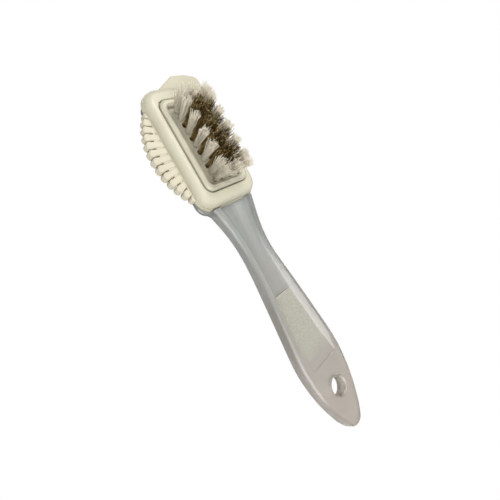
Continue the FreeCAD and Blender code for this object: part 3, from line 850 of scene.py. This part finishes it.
@dataclass
class TuftField:
    """The tufts of the bristle block.

    Attributes:
        seat_mm: How far the CAD tuft's foot lies under the mouth of its hole.
        foot_band_mm: Height of the band that holds the CAD foot's lowest corners.
        tip_band_mm: Height of the band that holds the CAD strands' upper ends.
        end_band_mm: How closely to the outermost row a tuft stands that is in it.
        root_mm: How far the filaments reach down into the hole.
        bend_power: How late along their length the filaments open.
        seed: Seed of the filaments' scatter.
        nylon: Filaments of a nylon tuft.
        worn_nylon: Filaments of a nylon tuft in the rows at the ends.
        brass: Filaments of a brass tuft.
        nylon_finish: Finish of the nylon.
        brass_finish: Finish of the brass.
    """

    seat_mm: float = 1.7
    foot_band_mm: float = 0.8
    tip_band_mm: float = 1.6
    end_band_mm: float = 0.5
    root_mm: float = 1.2
    bend_power: float = 1.25
    seed: int = 11
    nylon: Bundle = Bundle(
        count=70,
        width_mm=0.2,
        mouth_mm=1.0,
        length_share=0.977,
        ragged_share=0.06,
        open_share=1.9,
        stray_mm=0.35,
        crimp_mm=0.0,
        crimp_pitch_mm=1.0,
        steps=7,
    )
    worn_nylon: Bundle = Bundle(
        count=84,
        width_mm=0.17,
        mouth_mm=1.0,
        length_share=0.977,
        ragged_share=0.08,
        open_share=2.3,
        stray_mm=0.75,
        crimp_mm=0.0,
        crimp_pitch_mm=1.0,
        steps=7,
    )
    brass: Bundle = Bundle(
        count=62,
        width_mm=0.13,
        mouth_mm=0.8,
        length_share=1.0,
        ragged_share=0.14,
        open_share=2.4,
        stray_mm=0.75,
        crimp_mm=0.12,
        crimp_pitch_mm=2.2,
        steps=19,
    )
    nylon_finish: FilamentFinish = FilamentFinish()
    brass_finish: WireFinish = WireFinish(
        name="brass_crimped_wire_drawn",
        colour="#f3dda2",
        tarnish="#a68c5a",
        roughness=0.28,
        clean_share=0.3,
        # Painted shade at the tips of the brass tufts, where the packed wires shade each other.
        tip_shade="#5a4525",
    )

    def place(self, node: str) -> TuftPlace:
        """Reads from the frame where a tuft stands.

        Args:
            node: Name of the CAD tuft.

        Returns:
            The tuft's place.
        """
        corners = np.array([vertex.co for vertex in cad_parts[node].data.vertices]) / MM
        height = corners[:, 2]
        foot = corners[height < height.min() + self.foot_band_mm]
        tips = corners[height > height.max() - self.tip_band_mm]
        centres = [(part.min(axis=0) + part.max(axis=0)) / 2 for part in (foot, tips)]
        way = centres[1] - centres[0]
        way = way / np.linalg.norm(way)
        mouth = centres[0] + way * self.seat_mm
        length = float(((corners - mouth) @ way).max())
        return TuftPlace(node, Kind(node.split("_")[0]), mouth, way, length)

    def bundle(self, place: TuftPlace, reach_mm: float) -> Bundle:
        """Picks the filaments of one tuft.

        Args:
            place: Where the tuft stands.
            reach_mm: How far the outermost rows lie from the middle of the field.

        Returns:
            The filaments' sizes.
        """
        if place.kind is Kind.BRASS:
            return self.brass
        outermost = abs(place.mouth_mm[0]) > reach_mm - self.end_band_mm
        return self.worn_nylon if outermost else self.nylon

    def filaments(self, place: TuftPlace, bundle: Bundle, rng: np.random.Generator) -> np.ndarray:
        """Scatters the filaments of one tuft about its own axis.

        Args:
            place: Where the tuft stands.
            bundle: Sizes of the filaments.
            rng: Source of the scatter.

        Returns:
            Points as filament, step, axis, in millimetres, with the mouth at the origin.
        """
        count = bundle.count
        turn = rng.uniform(0, math.tau, count)
        reach = bundle.mouth_mm * np.sqrt(rng.uniform(0, 1, count))
        base = np.stack([reach * np.cos(turn), reach * np.sin(turn)], axis=1)
        tip = base * bundle.open_share + rng.normal(0, bundle.stray_mm, (count, 2))
        full = place.length_mm * bundle.length_share
        tall = full * (1 - bundle.ragged_share * rng.uniform(0, 1, count))
        share = np.linspace(0, 1, bundle.steps)
        height = -self.root_mm + (tall + self.root_mm)[:, None] * share[None, :]
        rise = np.clip(height / tall[:, None], 0, 1) ** self.bend_power
        flat = base[:, None, :] + (tip - base)[:, None, :] * rise[:, :, None]
        phase = rng.uniform(0, math.tau, count)[:, None] + height * math.tau / bundle.crimp_pitch_mm
        wave = bundle.crimp_mm * np.sin(phase) * rise
        swing = rng.uniform(0, math.tau, count)
        flat[:, :, 0] += wave * np.cos(swing)[:, None]
        flat[:, :, 1] += wave * np.sin(swing)[:, None]
        return np.concatenate([flat, height[:, :, None]], axis=2)

    def tuft_mesh(self, name: str, place: TuftPlace, bundle: Bundle, paths: np.ndarray) -> bpy.types.Mesh:
        """Turns filaments into thin tubes.

        Args:
            name: Name of the mesh.
            place: Where the tuft stands.
            bundle: Sizes of the filaments.
            paths: Points of the filaments about the tuft's axis.

        Returns:
            The mesh, in metres.
        """
        turn = np.arange(bundle.sides) * math.tau / bundle.sides
        ring = np.stack([np.cos(turn), np.sin(turn), 0 * turn], axis=1) * bundle.width_mm / 2
        points = paths[:, :, None, :] + ring[None, None, :, :]
        spin = np.array(Vector((0, 0, 1)).rotation_difference(Vector(place.way)).to_matrix())
        points = points.reshape(-1, 3) @ spin.T + place.mouth_mm
        index = np.arange(len(points)).reshape(bundle.count, bundle.steps, bundle.sides)
        ahead = np.roll(index, -1, axis=2)
        walls = np.stack([index[:, :-1], ahead[:, :-1], ahead[:, 1:], index[:, 1:]], axis=-1).reshape(-1, 4)
        faces = walls.tolist() + index[:, -1].tolist() + index[:, 0, ::-1].tolist()
        mesh = bpy.data.meshes.new(name)
        mesh.from_pydata((points * MM).tolist(), [], faces)
        mesh.polygons.foreach_set("use_smooth", [True] * len(mesh.polygons))
        mesh.update()
        return mesh

    def build(self) -> None:
        """Builds every tuft in place of its CAD node."""
        materials = {Kind.NYLON: self.nylon_finish.material(), Kind.BRASS: self.brass_finish.material()}
        places = [self.place(node) for node in sorted(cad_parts) if "_tuft_" in node]
        reach = max(abs(place.mouth_mm[0]) for place in places)
        rng = np.random.default_rng(self.seed)
        for place in places:
            bundle = self.bundle(place, reach)
            name = place.node + "_filaments"
            mesh = self.tuft_mesh(name, place, bundle, self.filaments(place, bundle, rng))
            mesh.materials.append(materials[place.kind])
            tuft = bpy.data.objects.new(name, mesh)
            bpy.context.scene.collection.objects.link(tuft)
            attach(tuft, BODY)
            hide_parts(place.node)


# Studio
@dataclass(frozen=True)
class Lamp:
    """A square soft lamp.

    Attributes:
        name: Name of the lamp.
        place_mm: Where it hangs.
        wide_mm: Width of its square.
        watts: Its power.
        tint: Its colour.
    """

    name: str
    place_mm: tuple[float, float, float]
    wide_mm: float
    watts: float
    tint: str

    def build(self) -> None:
        """Hangs the lamp and points it at the middle of the brush."""
        lamp = bpy.data.lights.new(self.name, "AREA")
        lamp.size = self.wide_mm * MM
        lamp.energy = self.watts
        lamp.color = linear(self.tint)[:3]
        holder = bpy.data.objects.new(self.name, lamp)
        place = Vector(self.place_mm) * MM
        middle = (Vector(LOADED_BOUNDS[0]) + Vector(LOADED_BOUNDS[1])) / 2
        holder.location = place
        holder.rotation_mode = "QUATERNION"
        holder.rotation_quaternion = (middle - place).to_track_quat("-Z", "Y")
        bpy.context.scene.collection.objects.link(holder)


@dataclass
class Studio:
    """Floor, light and camera.

    Attributes:
        eye_mm: Camera's place.
        right: Direction of the picture's right side.
        down: Direction of the picture's lower side.
        lens_mm: Focal length.
        sensor_mm: Width of the sensor.
        near_mm: Where the camera's view starts.
        far_mm: Where the camera's view ends.
        lamps: The lamps.
        air_low: Upward share of a direction under which the air is darkest.
        air_high: Upward share of a direction above which the air is brightest.
        low_strength: Strength of the light from low down.
        high_strength: Strength of the light from overhead.
        floor_half_mm: Half-width of the floor.
        floor_drop_mm: How far the floor lies under the brush.
        paper: Finish of the floor.
    """

    eye_mm: tuple[float, float, float] = (41.04, -101.67, 114.16)
    right: tuple[float, float, float] = (0.4949, 0.6397, 0.588)
    down: tuple[float, float, float] = (0.8682, -0.3927, -0.3035)
    lens_mm: float = 26.28
    sensor_mm: float = 36.0
    near_mm: float = 5.0
    far_mm: float = 50000.0
    lamps: tuple[Lamp, ...] = (
        Lamp("key_lamp", (-230.0, 130.0, 550.0), 320.0, 3.0, "#fffdf8"),
        Lamp("fill_lamp", (300.0, -360.0, 280.0), 420.0, 2.6, "#fffefc"),
    )
    air_low: float = 0.1
    air_high: float = 0.9
    low_strength: float = 0.06
    high_strength: float = 0.72
    floor_half_mm: float = 6000.0
    floor_drop_mm: float = 0.05
    paper: PaperFinish = PaperFinish()

    def build_floor(self) -> None:
        """Lays the white floor."""
        half = self.floor_half_mm * MM
        level = LOADED_BOUNDS[0][2] - self.floor_drop_mm * MM
        mesh = bpy.data.meshes.new("floor")
        ways = ((-1, -1), (1, -1), (1, 1), (-1, 1))
        corners = [(x * half, y * half, level) for x, y in ways]
        mesh.from_pydata(corners, [], [(0, 1, 2, 3)])
        mesh.materials.append(self.paper.material())
        floor = bpy.data.objects.new("floor", mesh)
        bpy.context.scene.collection.objects.link(floor)
        floor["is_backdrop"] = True

    def build_light(self) -> None:
        """Hangs the lamps and lights the air, which shows plain white to the camera."""
        for lamp in self.lamps:
            lamp.build()
        world = bpy.data.worlds.new("studio_air")
        world.use_nodes = True
        tree = world.node_tree
        tree.nodes.clear()
        way = add_node(tree, "ShaderNodeTexCoord")
        axes = add_node(tree, "ShaderNodeSeparateXYZ", links={"Vector": way.outputs["Generated"]}).outputs
        rise = add_node(
            tree,
            "ShaderNodeMapRange",
            {
                "From Min": self.air_low,
                "From Max": self.air_high,
                "To Min": self.low_strength,
                "To Max": self.high_strength,
            },
            {"Value": axes["Z"]},
        )
        air = add_node(
            tree, "ShaderNodeBackground", {"Color": linear(WHITE)}, {"Strength": rise.outputs["Result"]}
        )
        plain = add_node(tree, "ShaderNodeBackground", {"Color": linear(WHITE), "Strength": PLAIN_STRENGTH})
        path = add_node(tree, "ShaderNodeLightPath").outputs
        mixed = add_node(
            tree,
            "ShaderNodeMixShader",
            links={0: path["Is Camera Ray"], 1: air.outputs[0], 2: plain.outputs[0]},
        )
        add_node(tree, "ShaderNodeOutputWorld", links={"Surface": mixed.outputs["Shader"]})
        bpy.context.scene.world = world

    def build_camera(self) -> None:
        """Puts the camera where the photo was taken from."""
        data = bpy.data.cameras.new("photo_camera")
        data.sensor_width = self.sensor_mm
        data.lens = self.lens_mm
        data.clip_start = self.near_mm * MM
        data.clip_end = self.far_mm * MM
        camera = bpy.data.objects.new("photo_camera", data)
        bpy.context.scene.collection.objects.link(camera)
        right = Vector(self.right).normalized()
        back = right.cross(-Vector(self.down)).normalized()
        up = back.cross(right)
        turn = Matrix((right, up, back)).transposed().to_4x4()
        camera.matrix_world = Matrix.Translation(Vector(self.eye_mm) * MM) @ turn
        bpy.context.scene.camera = camera

    def build(self) -> None:
        """Builds floor, light and camera, with plain colours in the picture."""
        self.build_floor()
        self.build_light()
        self.build_camera()
        bpy.context.scene.view_settings.view_transform = "Standard"


def main() -> None:
    """Builds the brush's looks in order and reports the pieces."""
    logging.basicConfig(level=logging.INFO, format="%(name)s: %(message)s")
    edges = EdgeShading().group()
    Handle().dress(edges)
    Head().dress(edges)
    TuftField().build()
    Studio().build()
    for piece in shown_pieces():
        LOG.info("piece %s", piece.name)


if __name__ == "__main__":
    main()
